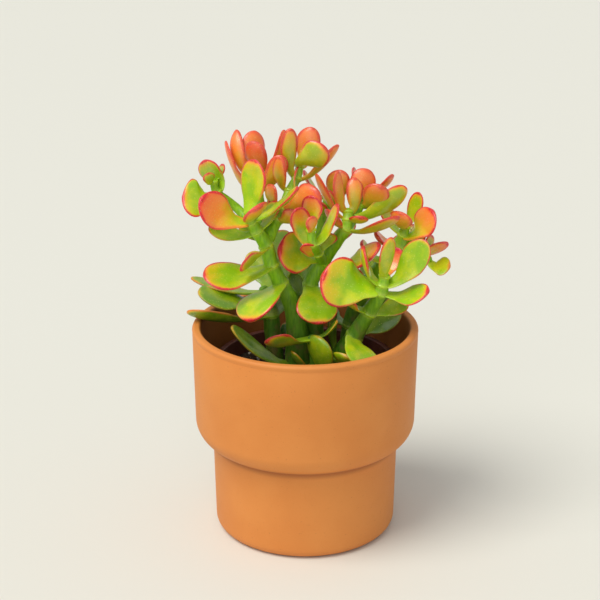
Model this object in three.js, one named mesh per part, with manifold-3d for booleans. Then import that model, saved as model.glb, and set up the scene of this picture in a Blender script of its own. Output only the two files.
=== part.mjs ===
// A potted jade plant: a stepped ceramic cover pot, a plastic nursery pot standing in it, a plug of
// potting soil, and a jade plant with several rooted stems that carry thick leaves in opposite pairs.
// Millimetres, +Z up, the origin on the surface that the pot stands on, at the pot's axis.
import * as THREE from "three";
import { mergeVertices } from "three/addons/utils/BufferGeometryUtils.js";
import Module from "manifold-3d";

const wasm = await Module();
wasm.setup();

// ---- Driving dimensions ----
const CLEARANCE = 0.3; // gap kept between pieces that touch
const LEAF_CLEARANCE = 0.5; // and between leaves that press on one another

const POT_DIAMETER = 130; // at the rim
const POT_HEIGHT = 124;
const POT_WALL = 5;
const POT_FLOOR = 6;
const POT_TAPER = 1; // how much the radius shrinks down each of the two tiers
const STEP_HEIGHT = 54.5; // underside of the upper tier
const STEP_DEPTH = 10; // how far the upper tier stands out over the lower one
const SHOULDER_RADIUS = 13.5;
const BASE_RADIUS = 6; // rounding at the foot
const RIM_RADIUS = 1.8; // rounding on both sides of the rim

const NURSERY_GAP = 7.5; // between the cover pot's wall and the nursery pot's lip
const NURSERY_FOOT_GAP = 10; // between the cover pot's wall and the nursery pot's floor
const NURSERY_DEPTH_BELOW_RIM = 21; // from the cover pot's rim down to the nursery pot's rim
const NURSERY_WALL = 1;
const NURSERY_LIP = [2.5, 8]; // how far the lip stands out, and its height
const DRAIN_HOLES = 5;
const DRAIN_RADIUS = 4;
const DRAIN_CIRCLE = 0.6; // share of the floor radius
const DRAIN_SIDES = 8;

const SOIL_BELOW_LIP = 9;
const SOIL_CROWN = 1.5; // rise of the soil's middle over its edge

const PLANT_FITS = 50; // the nursery pot's radius that the places and reaches below are given for
const STEM_THICKNESS = 1; // multiplies every stem radius below
const LEAF_THICKNESS = 0.22; // share of a leaf's width
const PETIOLE_WIDTH = 0.34; // share of a leaf's width at its base
const WIDEST_AT = 0.64; // share of a leaf's length
const WIDENING = 1.3; // over 1, a leaf stays narrow for longer near its base
const LEAF_CUP = 0.12; // rise of the margins, as a share of half the width
const LEAF_OVER = 0.4; // share of a leaf's thickness that lies over its midrib line
const LEAF_SHOULDER = 0.55; // how far out a section stays thick, as a share of half its width
const CLASP_SHOULDER = 0.9; // and at the root, where the pair is joined round the stem
const LEAF_STATIONS = [0.28, 0.62, 0.9]; // where a leaf's sections are, as shares of its length
const CLASP_WALL = 1.3; // a pair's bases join round the stem with this much on each side
const CLASP_HEIGHT = 3;
const SLIVER = 0.06; // detail smaller than this is dropped after a piece is cut

const ROUND = { pot: 36, nursery: 28, stem: 8 };

// ---- Colours ----
const COLOURS = {
  pot: ["#cf8447", 0.55],
  nursery: ["#5b2f24", 0.5],
  soil: ["#2b211b", 0.95],
  stem: ["#6f9a2a", 0.45],
  leaf: ["#86a821", 0.35],
};

// ---- How the plant grows ----
// Each stem holds its shoots. A shoot is a list of nodes from its foot to its tip:
//   [x, y, height over the soil, stem radius, leaf, leaf]
// A node's two leaves are an opposite pair, and each is
//   [reach x, reach y, reach z, width, curl, roll]
// with reach the vector from the node to the leaf's tip, curl the sag of the leaf's midrib below that
// line as a share of its length (negative arches up), and roll its turn about its length in degrees.
const PLANT = {
  "left_stem": {
    "main": [
      [-3, 3, -14, 7.5],
      [-4, 1, 6, 7.6, [-38, -10, 26, 16, 0.06, -5], [-8, 27, 14, 15, 0.05, 0]],
      [-6, -1, 37, 5.6],
      [-14, -3, 56, 4.6, [-18, -27, -13, 28, -0.08, 0], [-2, 28, 9, 18, 0.05, 0]],
      [-19, -6, 68, 4.2, [-38, -11, -2, 22, 0.08, -20], [4, 26, 12, 16, 0.05, 0]],
      [-22, -8, 80, 4.0, [-14, -17, -9, 13, -0.05, 50], [-15, 10, 9, 12, 0.04, 0]],
      [-27, -10, 89, 3.6, [-27, 5, 1, 13, 0.08, 0], [10, 12, 14, 13, 0.06, 0]],
      [-30, -12, 95, 3.2, [-27, -10, 17, 20, 0.06, -55], [26, -4, 21, 14, 0.05, -15]],
      [-31, -13, 99, 2.8, [5, -18, 11, 17, 0.08, 0], [3, 7, 30, 20, 0.05, 0]],
    ],
    "top_back": [
      [-22, -8, 80, 3.6],
      [-25, 6, 94, 3.2],
      [-27, 16, 105, 3.0, [-18, 4, 28, 10, 0.14, -50], [14, -5, 22, 12, 0.05, -25]],
      [-28, 20, 111, 2.7, [-11, 6, 27, 9, 0.2, 0], [16, 6, 27, 9, 0.12, 0]],
      [-28, 22, 115, 2.4, [-2, -6, 19, 14, 0.12, 0], [-1, 6, 22, 15, 0.08, 0]],
    ],
    "top_right": [
      [-22, -8, 80, 3.4],
      [-16, 1, 92, 3.2, [12, -10, 8, 13, 0.08, 0], [-3, 13, 12, 12, 0.06, 0]],
      [-13, 4, 97, 3.0, [20, -10, 15, 18, 0.06, -50], [-7, 5, 14, 14, 0.08, 0]],
      [-9, 10, 106, 2.8, [-5, -5, 22, 9, 0.1, 0], [6, 9, 13, 9, 0.08, 0]],
      [-5, 16, 112, 2.6, [-3, -3, 30, 10, 0.06, 40], [24, 7, 18, 9, 0.04, 0]],
      [-3, 18, 119, 2.2, [14, -10, 14, 17, 0.05, -50], [7, 6, 21, 14, 0.05, 0]],
    ],
    "left_tip": [
      [-27, -10, 89, 3.0],
      [-38, 0, 99, 2.6],
      [-49, -2, 109, 2.4, [-19, -7, 0, 23, 0.06, -55], [-8, 5, 17, 17, 0.06, -20]],
      [-51, -2, 115, 2.0, [-3, -6, 7, 7, 0.1, 0], [5, 6, 9, 9, 0.1, 0]],
    ],
  },
  "middle_stem": {
    "main": [
      [7, 10, -14, 6.0],
      [5, 10, 34, 5.0, [-10, 12, 22, 14, 0.05, 0], [12, 18, 12, 16, 0.05, 0]],
      [3, 6, 52, 4.4, [4, -25, -15, 24, -0.08, 0], [-4, 24, 9, 16, 0.05, 0]],
      [10, 5, 66, 4.2, [-25, -12, 12, 24, 0.05, -45], [32, -10, 14, 18, 0.1, 40]],
      [18, 5, 79, 3.9],
      [23, 4, 86, 3.5, [29, -12, 11, 17, 0.06, 0], [-8, -13, 14, 13, 0.08, 0]],
      [24, 5, 91, 3.0, [-18, 4, 26, 10, 0.04, 0], [7, -16, 7, 11, 0.1, 0]],
      [24, 7, 95, 2.6, [-6, -4, 25, 9, 0.04, 60], [4, 8, 18, 10, 0.08, 0]],
    ],
    "front_tip": [
      [10, 5, 66, 3.2],
      [7, -8, 76, 2.9, [-7, -13, 9, 9, 0.05, 0], [8, 10, 8, 10, 0.05, 0]],
      [4, -16, 84, 2.6, [-9, -3, 21, 13, 0.06, 30], [14, 2, 22, 12, 0.06, -30]],
      [3, -17, 92, 2.2, [0, -7, 10, 8, 0.1, 0], [0, 6, 18, 13, 0.1, 0]],
    ],
    "right_tip": [
      [23, 4, 86, 3.2],
      [28, 11, 91, 3.0, [29, -2, 18, 14, 0.05, 0], [-15, 8, 13, 11, 0.06, 0]],
      [31, 14, 97, 2.7, [12, -12, 15, 15, 0.05, 0], [5, 4, 20, 15, 0.06, 0]],
      [34, 17, 104, 2.3, [16, 1, 10, 11, 0.08, 0], [-6, 9, 12, 10, 0.08, 0]],
    ],
    "back_tip": [
      [3, 6, 52, 3.8],
      [8, 18, 72, 3.4, [-16, 14, 12, 14, 0.06, 0], [20, 18, 8, 14, 0.06, 0]],
      [11, 22, 90, 3.0, [-6, -14, 12, 14, 0.06, 0], [8, 16, 14, 13, 0.06, 0]],
      [13, 23, 97, 2.6, [8, -3, 19, 14, 0.08, 0], [-14, 8, 16, 12, 0.06, 0]],
    ],
  },
  "right_stem": {
    "main": [
      [16, -6, -14, 5.6],
      [20, -7, 12, 5.4, [-4, 6, 29, 14, 0.05, 0], [4, -22, 10, 18, 0.05, 0]],
      [28, -11, 27, 5.0, [5, -26, -10, 22, -0.08, 0], [25, 13, 15, 21, 0.06, 25]],
      [36, -15, 43, 4.2, [-16, -9, 14, 14, 0.06, 30], [22, 8, 4, 14, 0.06, 0]],
      [42, -19, 56, 3.8, [-33, -9, 13, 29, 0.05, -50], [26, -10, 5, 17, 0.08, 20]],
      [43, -20, 61, 3.4, [-11, 2, 22, 17, 0.06, 20], [23, 0, 26, 17, 0.06, 42]],
      [44, -20, 66, 2.8, [3, -7, 25, 10, 0.06, 40], [8, 11, 13, 12, 0.12, 0]],
    ],
  },
  "back_right_stem": {
    "main": [
      [24, 22, -14, 5.6],
      [27, 24, 20, 5.0, [24, 10, 16, 18, 0.06, 0], [-20, 16, 16, 17, 0.06, 0]],
      [35, 23, 44, 4.6, [8, 28, 10, 18, 0.06, 0], [-4, -14, 16, 14, 0.06, 0]],
      [46, 18, 62, 4.0, [16, 22, 8, 16, 0.06, 0], [-14, -8, 14, 14, 0.06, 0]],
      [53, 15, 73, 3.5, [-13, -11, 10, 14, 0.08, 0], [15, 6, 8, 14, 0.06, 0]],
      [56, 14, 79, 3.1, [16, -5, 17, 20, 0.06, 40], [-10, 12, 14, 13, 0.06, 0]],
      [57, 14, 84, 2.6, [-3, -10, 12, 14, 0.1, 0], [8, 6, 19, 10, 0.06, 0]],
    ],
    "right_tip": [
      [46, 18, 62, 3.4],
      [57, 18, 62, 3.0],
      [65, 16, 62, 2.8, [17, -4, 13, 12, 0.06, 0], [2, 17, 8, 13, 0.06, 0]],
      [71, 13, 65, 2.2, [12, -6, -2, 14, 0.06, 20], [2, 5, 13, 9, 0.08, 0]],
    ],
  },
  "back_left_stem": {
    "main": [
      [-16, 14, -14, 5.2],
      [-20, 15, 30, 4.8, [-48, -13, 7, 17, 0.05, 30], [8, 28, 12, 17, 0.06, 0]],
      [-22, 17, 38, 4.0, [-40, -4, 8, 23, 0.06, -30], [12, 18, 18, 15, 0.06, 0]],
      [-24, 18, 44, 3.2, [-43, 9, 5, 14, 0.05, 0], [-8, 24, 16, 15, 0.06, 0]],
    ],
  },
  "front_sprout": {
    "main": [
      [3, -6, -12, 3.6],
      [6, -10, 5, 3.4, [2, -10, 25, 21, 0.06, 0], [-13, -8, 15, 11, 0.06, 0]],
      [4, -13, 26, 2.8, [-26, -10, 3, 17, 0.06, 48], [14, -3, 12, 9, 0.06, 0]],
    ],
  },
};

// ---- Solids ----
// A closed surface through rings of equal count, each end closed by a fan to a point.
function loft(rings, start, end) {
  const sides = rings[0].length;
  const positions = [];
  const face = (...points) => points.forEach((p) => positions.push(p.x, p.y, p.z));
  rings.forEach((ring, i) => {
    ring.forEach((a, j) => {
      const b = ring[(j + 1) % sides];
      if (i === 0) face(start, b, a);
      if (i === rings.length - 1) return face(end, a, b);
      const c = rings[i + 1][(j + 1) % sides];
      const d = rings[i + 1][j];
      face(a, b, c);
      face(a, c, d);
    });
  });
  return new THREE.BufferGeometry().setAttribute("position", new THREE.Float32BufferAttribute(positions, 3));
}

function solidFrom(geometry) {
  const bare = geometry.index ? geometry.toNonIndexed() : geometry.clone();
  bare.deleteAttribute("normal");
  bare.deleteAttribute("uv");
  const merged = mergeVertices(bare, 1e-4);
  const mesh = new wasm.Mesh({
    numProp: 3,
    vertProperties: merged.attributes.position.array,
    triVerts: new Uint32Array(merged.index.array),
  });
  return new wasm.Manifold(mesh);
}

function geometryFrom(solid) {
  const mesh = solid.getMesh();
  return new THREE.BufferGeometry()
    .setAttribute("position", new THREE.BufferAttribute(new Float32Array(mesh.vertProperties), 3))
    .setIndex(new THREE.BufferAttribute(new Uint32Array(mesh.triVerts), 1));
}

// A body of revolution about Z from [radius, height] points, listed from the bottom of the axis outwards.
function turned(points, segments) {
  const profile = points.map(([r, z]) => new THREE.Vector2(Math.max(r, 0), z));
  return solidFrom(new THREE.LatheGeometry(profile, segments).rotateX(Math.PI / 2));
}

function arc(centreR, centreZ, radius, fromDegrees, toDegrees, steps) {
  return Array.from({ length: steps + 1 }, (_, i) => {
    const angle = THREE.MathUtils.degToRad(fromDegrees + ((toDegrees - fromDegrees) * i) / steps);
    return [centreR + radius * Math.cos(angle), centreZ + radius * Math.sin(angle)];
  });
}

// ---- Cover pot ----
const rimRadius = POT_DIAMETER / 2;
const shoulderRadius = rimRadius - POT_TAPER;
const waistRadius = shoulderRadius - STEP_DEPTH;
const footRadius = waistRadius - POT_TAPER;

function coverPot() {
  const shoulderCentre = [shoulderRadius - SHOULDER_RADIUS, STEP_HEIGHT + SHOULDER_RADIUS];
  const crease = Math.acos(Math.min((waistRadius - shoulderCentre[0]) / SHOULDER_RADIUS, 1));
  const creaseDegrees = -THREE.MathUtils.radToDeg(crease);
  const innerShoulder = SHOULDER_RADIUS - POT_WALL;
  const innerCrease = Math.acos(
    THREE.MathUtils.clamp((waistRadius - POT_WALL - shoulderCentre[0]) / innerShoulder, -1, 1),
  );
  return turned(
    [
      [0, 0],
      ...arc(footRadius - BASE_RADIUS, BASE_RADIUS, BASE_RADIUS, -90, 0, 2),
      ...arc(...shoulderCentre, SHOULDER_RADIUS, creaseDegrees, 0, 3),
      ...arc(rimRadius - RIM_RADIUS, POT_HEIGHT - RIM_RADIUS, RIM_RADIUS, 0, 90, 2),
      ...arc(rimRadius - POT_WALL + RIM_RADIUS, POT_HEIGHT - RIM_RADIUS, RIM_RADIUS, 90, 180, 2),
      ...arc(...shoulderCentre, innerShoulder, 0, -THREE.MathUtils.radToDeg(innerCrease), 2),
      [footRadius - POT_WALL, POT_FLOOR + BASE_RADIUS],
      [footRadius - POT_WALL - BASE_RADIUS, POT_FLOOR],
      [0, POT_FLOOR],
    ],
    ROUND.pot,
  );
}

// ---- Nursery pot ----
const nurseryRim = POT_HEIGHT - NURSERY_DEPTH_BELOW_RIM;
const nurseryBase = POT_FLOOR + CLEARANCE;
const nurseryRadius = rimRadius - POT_WALL - NURSERY_GAP - NURSERY_LIP[0]; // outside the wall, under the lip
const nurseryFloorRadius = footRadius - POT_WALL - NURSERY_FOOT_GAP;

// The wall's outer radius at a height, under the lip.
function nurseryRadiusAt(z) {
  return THREE.MathUtils.mapLinear(z, nurseryBase, nurseryRim, nurseryFloorRadius, nurseryRadius);
}

function nurseryPot() {
  const [lipOut, lipHeight] = NURSERY_LIP;
  const lipFoot = nurseryRim - lipHeight;
  const shell = turned(
    [
      [0, nurseryBase],
      [nurseryFloorRadius, nurseryBase],
      [nurseryRadiusAt(lipFoot), lipFoot],
      [nurseryRadiusAt(lipFoot) + lipOut, lipFoot],
      [nurseryRadius + lipOut, nurseryRim],
      [nurseryRadius - NURSERY_WALL, nurseryRim],
      [nurseryFloorRadius - NURSERY_WALL, nurseryBase + NURSERY_WALL],
      [0, nurseryBase + NURSERY_WALL],
    ],
    ROUND.nursery,
  );
  const through = 4 * NURSERY_WALL;
  const drill = new THREE.CylinderGeometry(DRAIN_RADIUS, DRAIN_RADIUS, through, DRAIN_SIDES).rotateX(Math.PI / 2);
  const holes = Array.from({ length: DRAIN_HOLES }, (_, i) => {
    const angle = (2 * Math.PI * i) / DRAIN_HOLES;
    const reach = nurseryFloorRadius * DRAIN_CIRCLE;
    return solidFrom(
      drill.clone().translate(reach * Math.cos(angle), reach * Math.sin(angle), nurseryBase + NURSERY_WALL / 2),
    );
  });
  return holes.reduce((pot, hole) => pot.subtract(hole), shell);
}

// ---- Soil ----
const soilTop = nurseryRim - SOIL_BELOW_LIP;

function soilPlug(grow = 0) {
  const inset = NURSERY_WALL + CLEARANCE - grow;
  const base = nurseryBase + NURSERY_WALL + CLEARANCE;
  const top = soilTop + grow;
  return turned(
    [
      [0, base],
      [nurseryRadiusAt(base) - inset, base],
      [nurseryRadiusAt(soilTop) - inset, top],
      [nurseryRadiusAt(soilTop) * 0.55, top + SOIL_CROWN * 0.7],
      [0, top + SOIL_CROWN],
    ],
    ROUND.nursery,
  );
}

// ---- Stems ----
const spread = nurseryRadius / PLANT_FITS; // the plant fills its pot
const across = (x, y, z) => new THREE.Vector3(x * spread, y * spread, z);
const point = ([x, y, height]) => across(x, y, soilTop + height);

function ring(centre, u, v, radius, sides) {
  return Array.from({ length: sides }, (_, j) => {
    const angle = (2 * Math.PI * j) / sides;
    return centre.clone().addScaledVector(u, radius * Math.cos(angle)).addScaledVector(v, radius * Math.sin(angle));
  });
}

// The direction in which a shoot grows at one of its nodes.
function axisAt(nodes, i) {
  return point(nodes[i + 1] ?? nodes[i]).sub(point(nodes[i - 1] ?? nodes[i])).normalize();
}

function shootSolid(nodes, grow = 0) {
  const rings = nodes.map((node, i) => {
    const axis = axisAt(nodes, i);
    const u = new THREE.Vector3(0, 1, 0).cross(axis).normalize();
    return ring(point(node), u, axis.clone().cross(u), node[3] * STEM_THICKNESS + grow, ROUND.stem);
  });
  const last = nodes.length - 1;
  const tip = point(nodes[last]).addScaledVector(axisAt(nodes, last), nodes[last][3] + grow);
  return solidFrom(loft(rings, point(nodes[0]), tip));
}

function stemSolid(shoots, grow = 0) {
  return wasm.Manifold.union(Object.values(shoots).map((nodes) => shootSolid(nodes, grow)));
}

// ---- Leaves ----
// Half the width of a leaf along its length, as a share of its widest half.
function outline(s) {
  if (s < WIDEST_AT) {
    return PETIOLE_WIDTH + (1 - PETIOLE_WIDTH) * Math.sin((Math.PI / 2) * (s / WIDEST_AT)) ** WIDENING;
  }
  return Math.sqrt(Math.max(0, 1 - ((s - WIDEST_AT) / (1 - WIDEST_AT)) ** 2));
}

// Six points round a leaf: its two margins, two on its upper face and two on its lower one, these four
// at a share of the half width.
function section(centre, along, up, half, depth, cup, share) {
  const side = new THREE.Vector3().crossVectors(up, along).normalize();
  const at = (out, over) => centre.clone().addScaledVector(side, out).addScaledVector(up, over);
  return [
    at(half, cup),
    at(half * share, depth * LEAF_OVER),
    at(-half * share, depth * LEAF_OVER),
    at(-half, cup),
    at(-half * share, -depth * (1 - LEAF_OVER)),
    at(half * share, -depth * (1 - LEAF_OVER)),
  ];
}

// One leaf as sections from its root, which clasps the stem on the side that `out` points to, and its tip.
function leafRings(node, axis, out, [dx, dy, dz, width, curl, roll], grow) {
  const clasp = node[3] * STEM_THICKNESS + CLEARANCE + CLASP_WALL;
  const root = point(node).addScaledVector(out, clasp);
  const tip = point(node).add(across(dx, dy, dz));
  const length = root.distanceTo(tip);
  const along = tip.clone().sub(root).normalize();
  const flat = axis.clone().addScaledVector(along, -axis.dot(along)).normalize();
  const depth = width * LEAF_THICKNESS;
  const rings = LEAF_STATIONS.map((s) => {
    const up = flat.clone().applyAxisAngle(along, THREE.MathUtils.degToRad(roll) * Math.min(1, 2 * s));
    const centre = root.clone().lerp(tip, s).addScaledVector(flat, -curl * length * 4 * s * (1 - s));
    const half = (outline(s) * width) / 2 + grow;
    return section(centre, along, up, half, depth * Math.sqrt(outline(s)) + 2 * grow, LEAF_CUP * half, LEAF_SHOULDER);
  });
  return {
    rings: [section(root, out, axis, clasp + grow, CLASP_HEIGHT + 2 * grow, 0, CLASP_SHOULDER), ...rings],
    tip: tip.addScaledVector(along, grow),
  };
}

// An opposite pair of leaves, joined round the stem, before the stem and the other leaves are cut from it.
function pairSolid(nodes, i, grow = 0) {
  const axis = axisAt(nodes, i);
  const sideways = (leaf) => {
    const reach = across(...leaf.slice(0, 3));
    return reach.addScaledVector(axis, -reach.dot(axis)).normalize();
  };
  const [one, other] = nodes[i].slice(4);
  const out = sideways(one).sub(sideways(other)).normalize();
  const first = leafRings(nodes[i], axis, out, one, grow);
  const second = leafRings(nodes[i], axis, out.clone().negate(), other, grow);
  const turnedRound = second.rings.map((r) => [r[3], r[2], r[1], r[0], r[5], r[4]]).reverse();
  return solidFrom(loft([...turnedRound, ...first.rings], second.tip, first.tip));
}

const boxesMeet = (a, b) => [0, 1, 2].every((k) => a.min[k] < b.max[k] && b.min[k] < a.max[k]);

const largest = (solid) => solid.decompose().reduce((best, piece) => (piece.volume() > best.volume() ? piece : best));

// What is left of a solid once its grown neighbours are cut from it: the largest piece.
function trimmed(solid, neighbours) {
  const box = solid.boundingBox();
  const near = neighbours.filter((n) => boxesMeet(box, n.boundingBox()));
  if (!near.length) return solid;
  return largest(largest(solid.subtract(wasm.Manifold.union(near))).simplify(SLIVER));
}

// ---- Assembly ----
const part = new THREE.Group();

function add(name, solid, [colour, roughness]) {
  const material = new THREE.MeshStandardMaterial({ color: colour, roughness, metalness: 0 });
  const mesh = new THREE.Mesh(geometryFrom(solid), material);
  mesh.name = name;
  part.add(mesh);
}

const pot = coverPot();
const nursery = nurseryPot();
add("cover_pot", pot, COLOURS.pot);
add("nursery_pot", nursery, COLOURS.nursery);

const grownStems = Object.values(PLANT).map((shoots) => stemSolid(shoots, CLEARANCE));
add("soil", trimmed(soilPlug(), grownStems), COLOURS.soil);

Object.entries(PLANT).forEach(([name, shoots], i) => {
  add(name, trimmed(stemSolid(shoots), grownStems.slice(0, i)), COLOURS.stem);
});

const fixed = [pot, nursery, soilPlug(CLEARANCE), ...grownStems];
const grownPairs = [];
for (const [stem, shoots] of Object.entries(PLANT)) {
  for (const [shoot, nodes] of Object.entries(shoots)) {
    let count = 0;
    nodes.forEach((node, i) => {
      if (node.length < 5) return;
      count += 1;
      add(`${stem}_${shoot}_leaves_${count}`, trimmed(pairSolid(nodes, i), [...fixed, ...grownPairs]), COLOURS.leaf);
      grownPairs.push(pairSolid(nodes, i, LEAF_CLEARANCE));
    });
  }
}

export default part;
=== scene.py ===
"""The looks of a potted jade plant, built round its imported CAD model.

Every CAD node is replaced by a fine piece in the same place: leaves in opposite pairs with blushed
margins, fused stems with ringed nodes, crumbly soil with perlite and roots, a thin plastic nursery
pot and a matte ceramic cover pot.
"""

import math
import random
from collections import namedtuple
from itertools import combinations

import bpy
import numpy as np
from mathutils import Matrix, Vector, noise


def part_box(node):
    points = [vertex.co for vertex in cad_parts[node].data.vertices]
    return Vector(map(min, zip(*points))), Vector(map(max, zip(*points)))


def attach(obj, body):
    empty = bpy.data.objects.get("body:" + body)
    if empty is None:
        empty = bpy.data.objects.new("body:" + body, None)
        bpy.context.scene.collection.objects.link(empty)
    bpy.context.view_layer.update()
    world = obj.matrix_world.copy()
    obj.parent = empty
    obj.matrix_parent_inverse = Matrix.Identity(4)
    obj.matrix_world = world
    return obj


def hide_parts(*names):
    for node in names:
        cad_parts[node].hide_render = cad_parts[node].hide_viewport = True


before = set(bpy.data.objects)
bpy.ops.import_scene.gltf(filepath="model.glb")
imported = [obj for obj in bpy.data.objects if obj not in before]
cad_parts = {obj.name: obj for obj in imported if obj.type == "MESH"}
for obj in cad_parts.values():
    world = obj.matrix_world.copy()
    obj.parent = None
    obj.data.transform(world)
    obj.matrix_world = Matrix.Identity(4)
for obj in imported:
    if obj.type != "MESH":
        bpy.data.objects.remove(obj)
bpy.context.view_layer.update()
noise.seed_set(1)  # noise vectors differ from run to run without it

MM = 0.001
POT_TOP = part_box("cover_pot")[1].z
POT_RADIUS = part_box("cover_pot")[1].x
LIP_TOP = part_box("nursery_pot")[1].z
SOIL_BELOW_LIP = 9 * MM
SOIL_TOP = LIP_TOP - SOIL_BELOW_LIP
SOIL_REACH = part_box("soil")[1].x - 0.1 * MM

# The cover pot, as in part.mjs. Each of its two tiers narrows a little towards its foot.
POT_WALL = 5 * MM
POT_FLOOR = 6 * MM
TIER_TAPER = 1 * MM
STEP_HEIGHT = 54.5 * MM
STEP_DEPTH = 10 * MM
SHOULDER_RADIUS = 13.5 * MM
SHOULDER_TOP = STEP_HEIGHT + SHOULDER_RADIUS

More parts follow.
